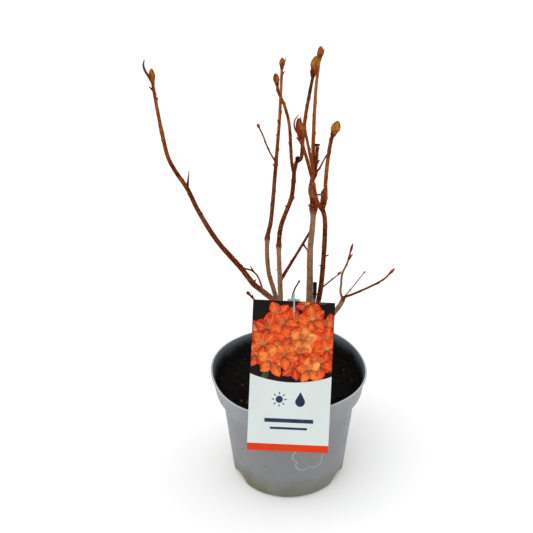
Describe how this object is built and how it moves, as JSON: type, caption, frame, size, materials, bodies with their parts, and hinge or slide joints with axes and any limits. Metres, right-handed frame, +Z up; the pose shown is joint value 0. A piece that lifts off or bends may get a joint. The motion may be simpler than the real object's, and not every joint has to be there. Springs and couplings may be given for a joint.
{
  "type": "potted azalea shrub",
  "caption": "Young leafless azalea shrub with slender bare stems and pointed buds, standing in a plastic nursery pot of soil, with a plain hang label tied on.",
  "frame": {"origin": "centre of the pot's flat underside, which stands on the ground or a shelf", "axes": "+Z up, +X to the right as seen from the side that the label hangs on, +Y to the back, away from the label"},
  "size_m": [0.1951, 0.165, 0.4051],
  "materials": {
    "pot_plastic": "thin grey moulded plastic, semi-matt, with faint algae near the foot",
    "potting_soil": "moist dark peat with fibres and crumbs",
    "old_bark": "grey-tan bark with fine lengthwise cracks",
    "stem_bark": "smooth red-brown bark with small scars",
    "young_shoots": "orange-brown bark of young shoots, with scaly buds",
    "label_plastic": "printed plastic label, satin",
    "tie_plastic": "grey plastic strap"
  },
  "bodies": {
    "root": {"pot": "pot_plastic", "soil": "potting_soil", "root_crown": "old_bark", "left_trunk": "old_bark", "central_stem": "old_bark", "right_stem": "stem_bark", "low_branch": "old_bark", "left_stem": "stem_bark", "rear_stem": "stem_bark", "middle_stem": "stem_bark", "left_spray": "young_shoots", "rear_spray": "young_shoots", "middle_spray": "young_shoots", "central_spray": "young_shoots", "right_spray": "young_shoots", "low_spray": "young_shoots", "left_side_twig": "young_shoots", "middle_side_twig": "young_shoots", "right_side_twig": "young_shoots", "low_left_twig": "young_shoots", "front_twig": "young_shoots", "cut_stub": "young_shoots", "label_card": "label_plastic", "label_tie": "tie_plastic"}
  },
  "joints": []
}
